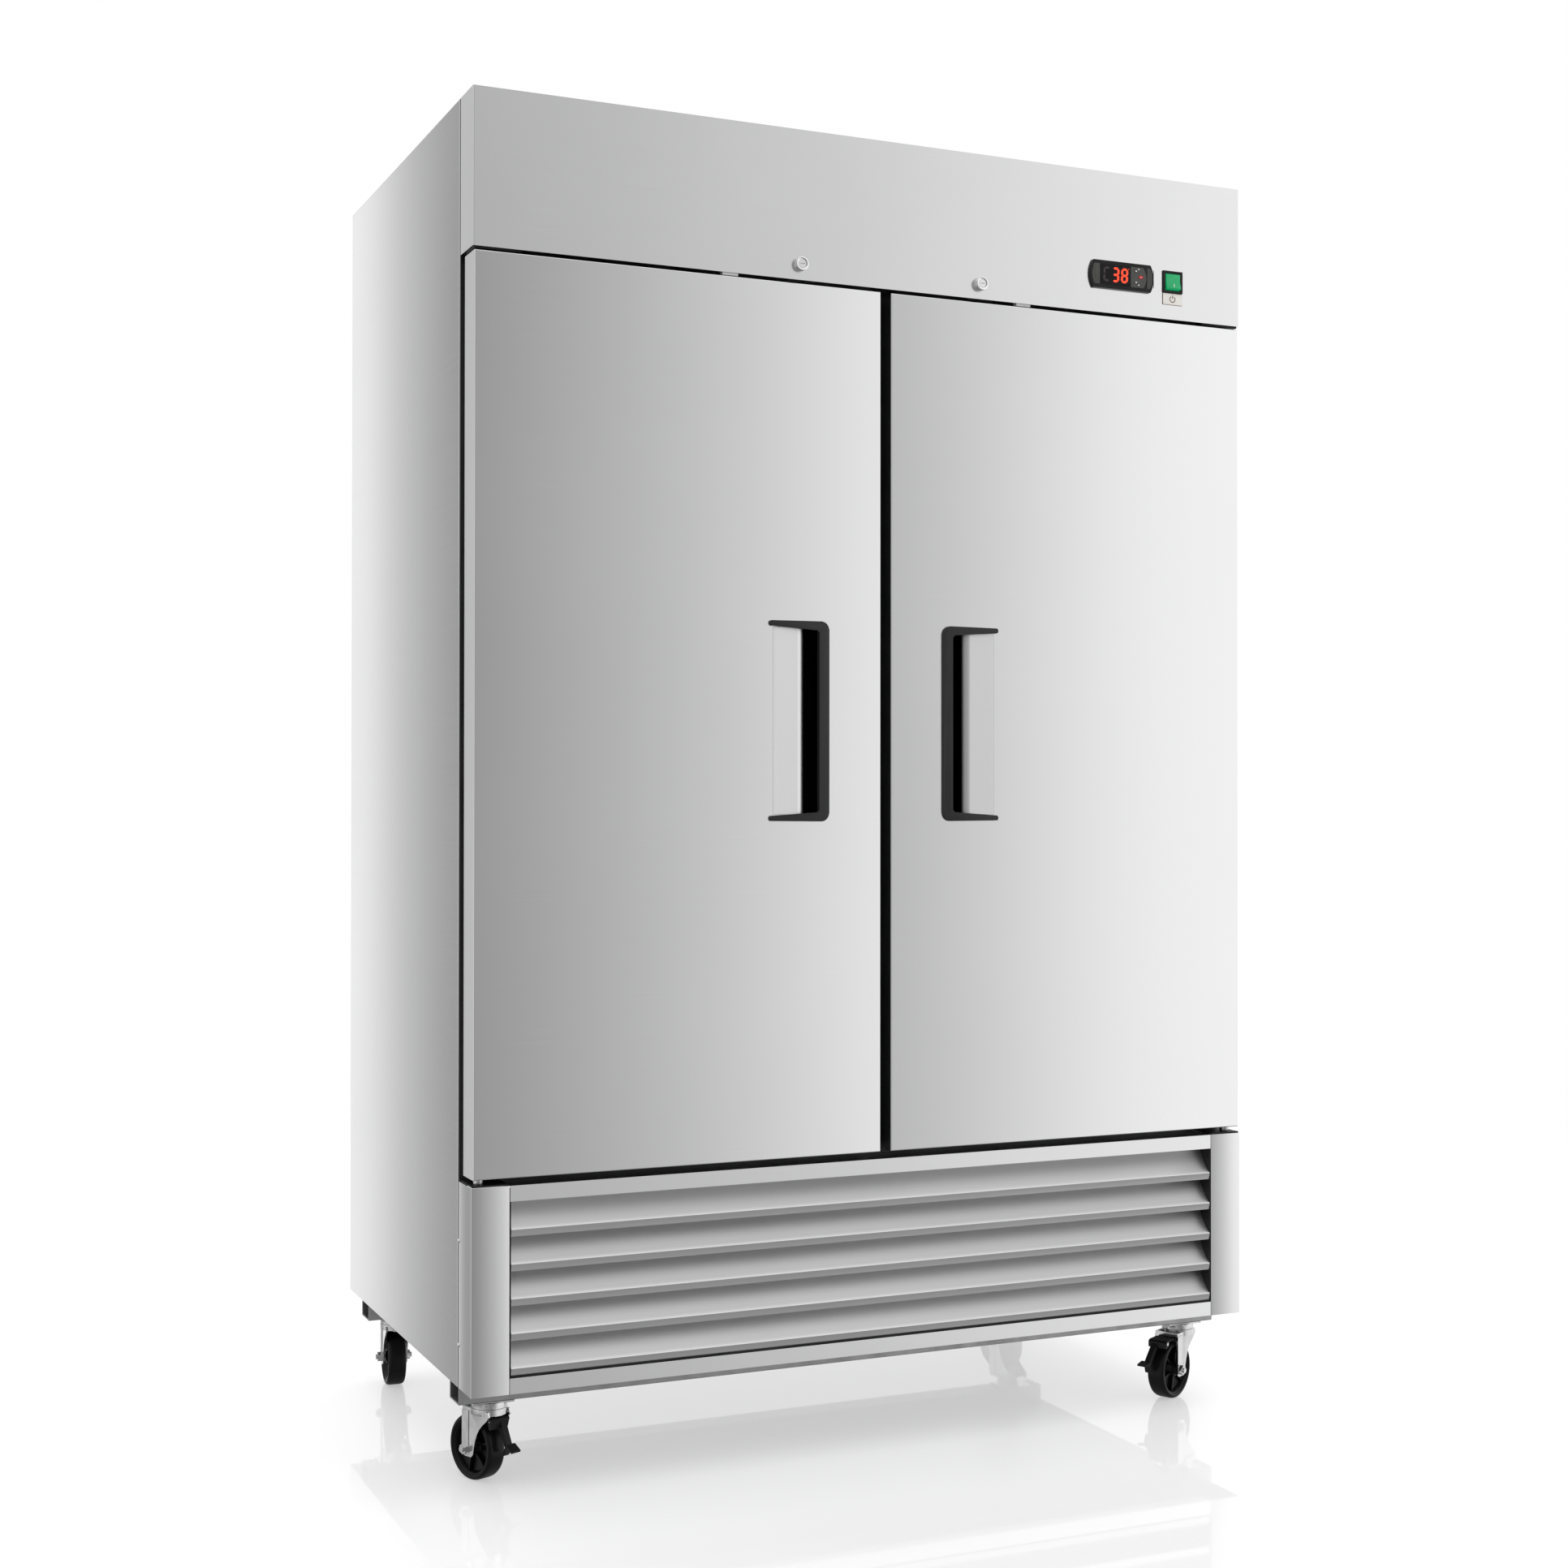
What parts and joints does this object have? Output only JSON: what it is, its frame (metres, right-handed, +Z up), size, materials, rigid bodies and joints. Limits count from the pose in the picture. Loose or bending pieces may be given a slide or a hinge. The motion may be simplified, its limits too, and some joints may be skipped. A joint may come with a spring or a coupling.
{
  "type": "reach-in refrigerator",
  "caption": "Two-door commercial reach-in refrigerator in stainless steel, with recessed pull handles, key locks, a header control panel, a louvred base grille and swivel casters.",
  "frame": {"origin": "on the floor, in the middle of the overall width and depth", "axes": "+X to the viewer's right, +Y to the back, +Z up; the doors face -Y"},
  "size_m": [1.387, 0.815, 2.1265],
  "materials": {
    "outer_steel": "satin",
    "pocket_steel": "satin",
    "galvanised_steel": "matte",
    "rail_paint": "satin",
    "black_metal": "satin",
    "liner_aluminium": "satin",
    "foam": "matte",
    "door_core": "satin",
    "black_strip": "satin",
    "gasket_rubber": "matte",
    "shelf_coating": "gloss",
    "white_cover": "satin",
    "coil_aluminium": "satin",
    "fan_plastic": "satin",
    "motor_metal": "satin",
    "copper": "satin",
    "box_metal": "satin",
    "lamp_cover": "gloss",
    "controller_black": "satin",
    "key_grey": "satin",
    "key_red": "satin",
    "switch_black": "satin",
    "switch_green": "gloss",
    "lock_chrome": "polished",
    "sensor_plastic": "satin",
    "hinge_steel": "satin",
    "screw_steel": "polished",
    "caster_zinc": "satin",
    "wheel_black": "satin",
    "handle_black": "satin"
  },
  "bodies": {
    "cabinet": {"back_panel": "galvanised_steel", "base_pans": "galvanised_steel", "base_rails": "rail_paint", "cabinet_lamps": "lamp_cover", "caster_plates": "caster_zinc", "compressor": "black_metal", "condenser_coil": "coil_aluminium", "corner_posts": "outer_steel", "door_frame": "black_strip", "door_sensors": "sensor_plastic", "electrical_box": "box_metal", "evaporator_coil": "coil_aluminium", "evaporator_cover": "white_cover", "fan_motors": "motor_metal", "foam_insulation": "foam", "grille_blades": "outer_steel", "grille_cheeks": "black_metal", "grille_frame": "outer_steel", "header_panel": "outer_steel", "hinge_pins": "hinge_steel", "hinge_plates": "black_metal", "interior_liner": "liner_aluminium", "lock_bodies": "lock_chrome", "panel_screws": "screw_steel", "power_switch_bezel": "switch_black", "refrigerant_tubes": "copper", "shelf_supports": "liner_aluminium", "side_panels": "outer_steel", "temperature_controller": "controller_black", "top_panel": "outer_steel", "wire_shelves": "shelf_coating"},
    "evaporator_fan_left": {"evaporator_fan_left": "fan_plastic"},
    "evaporator_fan_right": {"evaporator_fan_right": "fan_plastic"},
    "condenser_fan": {"condenser_fan": "fan_plastic"},
    "power_rocker": {"power_rocker": "switch_green"},
    "button_up": {"button_up": "key_grey"},
    "button_down": {"button_down": "key_grey"},
    "button_set": {"button_set": "key_red"},
    "lock_plug_left": {"lock_plug_left": "lock_chrome"},
    "lock_plug_right": {"lock_plug_right": "lock_chrome"},
    "door_left": {"door_left_core": "door_core", "door_left_gasket": "gasket_rubber", "door_left_handle": "handle_black", "door_left_pocket": "pocket_steel", "door_left_skin": "outer_steel"},
    "door_right": {"door_right_core": "door_core", "door_right_gasket": "gasket_rubber", "door_right_handle": "handle_black", "door_right_pocket": "pocket_steel", "door_right_skin": "outer_steel"},
    "caster_fork_front_left": {"caster_fork_front_left": "caster_zinc"},
    "caster_wheel_front_left": {"caster_wheel_front_left": "wheel_black"},
    "caster_brake_front_left": {"caster_brake_front_left": "black_metal"},
    "caster_fork_front_right": {"caster_fork_front_right": "caster_zinc"},
    "caster_wheel_front_right": {"caster_wheel_front_right": "wheel_black"},
    "caster_brake_front_right": {"caster_brake_front_right": "black_metal"},
    "caster_fork_rear_left": {"caster_fork_rear_left": "caster_zinc"},
    "caster_wheel_rear_left": {"caster_wheel_rear_left": "wheel_black"},
    "caster_fork_rear_right": {"caster_fork_rear_right": "caster_zinc"},
    "caster_wheel_rear_right": {"caster_wheel_rear_right": "wheel_black"}
  },
  "joints": [
    {"name": "door_left_hinge", "type": "hinge", "parent": "cabinet", "child": "door_left", "pos_m": [-0.674, -0.3765, 1.182], "axis": [0, 0, -1], "range_deg": [0, 110], "stiffness_Nm_per_rad": 2, "springref_deg": -34.38},
    {"name": "door_right_hinge", "type": "hinge", "parent": "cabinet", "child": "door_right", "pos_m": [0.674, -0.3765, 1.182], "axis": [0, 0, 1], "range_deg": [0, 110], "stiffness_Nm_per_rad": 2, "springref_deg": -34.38},
    {"name": "lock_left_turn", "type": "hinge", "parent": "cabinet", "child": "lock_plug_left", "pos_m": [-0.153, -0.3985, 1.91], "axis": [0, 1, 0], "range_deg": [0, 90]},
    {"name": "lock_right_turn", "type": "hinge", "parent": "cabinet", "child": "lock_plug_right", "pos_m": [0.174, -0.3985, 1.91], "axis": [0, 1, 0], "range_deg": [0, 90]},
    {"name": "power_rocker_tilt", "type": "hinge", "parent": "cabinet", "child": "power_rocker", "pos_m": [0.5525, -0.3965, 1.95], "axis": [1, 0, 0], "range_deg": [0, 16]},
    {"name": "button_up_press", "type": "slide", "parent": "cabinet", "child": "button_up", "axis": [0, 1, 0], "range_m": [0, 0.0008], "stiffness_N_per_m": 500, "springref_m": -0.0003},
    {"name": "button_set_press", "type": "slide", "parent": "cabinet", "child": "button_set", "axis": [0, 1, 0], "range_m": [0, 0.0008], "stiffness_N_per_m": 500, "springref_m": -0.0003},
    {"name": "button_down_press", "type": "slide", "parent": "cabinet", "child": "button_down", "axis": [0, 1, 0], "range_m": [0, 0.0008], "stiffness_N_per_m": 500, "springref_m": -0.0003},
    {"name": "evaporator_fan_left_spin", "type": "hinge", "parent": "cabinet", "child": "evaporator_fan_left", "pos_m": [-0.2, 0.1535, 1.9665], "axis": [0, 1, 0], "continuous": true},
    {"name": "evaporator_fan_right_spin", "type": "hinge", "parent": "cabinet", "child": "evaporator_fan_right", "pos_m": [0.2, 0.1535, 1.9665], "axis": [0, 1, 0], "continuous": true},
    {"name": "condenser_fan_spin", "type": "hinge", "parent": "cabinet", "child": "condenser_fan", "pos_m": [-0.34, -0.19, 0.317], "axis": [0, 1, 0], "continuous": true},
    {"name": "caster_front_left_swivel", "type": "hinge", "parent": "cabinet", "child": "caster_fork_front_left", "pos_m": [-0.632, -0.294, 0.112], "axis": [0, 0, 1], "continuous": true},
    {"name": "caster_front_left_roll", "type": "hinge", "parent": "caster_fork_front_left", "child": "caster_wheel_front_left", "pos_m": [-0.64324, -0.26618, 0.0508], "axis": [0.9272, 0.3746, 0], "continuous": true},
    {"name": "caster_front_left_brake", "type": "hinge", "parent": "caster_fork_front_left", "child": "caster_brake_front_left", "pos_m": [-0.62451, -0.31254, 0.101], "axis": [-0.9272, -0.3746, 0], "range_deg": [0, 10]},
    {"name": "caster_front_right_swivel", "type": "hinge", "parent": "cabinet", "child": "caster_fork_front_right", "pos_m": [0.632, -0.294, 0.112], "axis": [0, 0, 1], "continuous": true},
    {"name": "caster_front_right_roll", "type": "hinge", "parent": "caster_fork_front_right", "child": "caster_wheel_front_right", "pos_m": [0.60527, -0.30762, 0.0508], "axis": [-0.454, 0.891, 0], "continuous": true},
    {"name": "caster_front_right_brake", "type": "hinge", "parent": "caster_fork_front_right", "child": "caster_brake_front_right", "pos_m": [0.57498, -0.32305, 0.101], "axis": [0.454, -0.891, 0], "range_deg": [0, 10]},
    {"name": "caster_rear_left_swivel", "type": "hinge", "parent": "cabinet", "child": "caster_fork_rear_left", "pos_m": [-0.632, 0.2995, 0.112], "axis": [0, 0, 1], "continuous": true},
    {"name": "caster_rear_left_roll", "type": "hinge", "parent": "caster_fork_rear_left", "child": "caster_wheel_rear_left", "pos_m": [-0.62938, 0.32939, 0.0508], "axis": [0.9962, -0.0872, 0], "continuous": true},
    {"name": "caster_rear_right_swivel", "type": "hinge", "parent": "cabinet", "child": "caster_fork_rear_right", "pos_m": [0.632, 0.2995, 0.112], "axis": [0, 0, 1], "continuous": true},
    {"name": "caster_rear_right_roll", "type": "hinge", "parent": "caster_fork_rear_right", "child": "caster_wheel_rear_right", "pos_m": [0.62576, 0.32884, 0.0508], "axis": [0.9781, 0.2079, 0], "continuous": true}
  ]
}
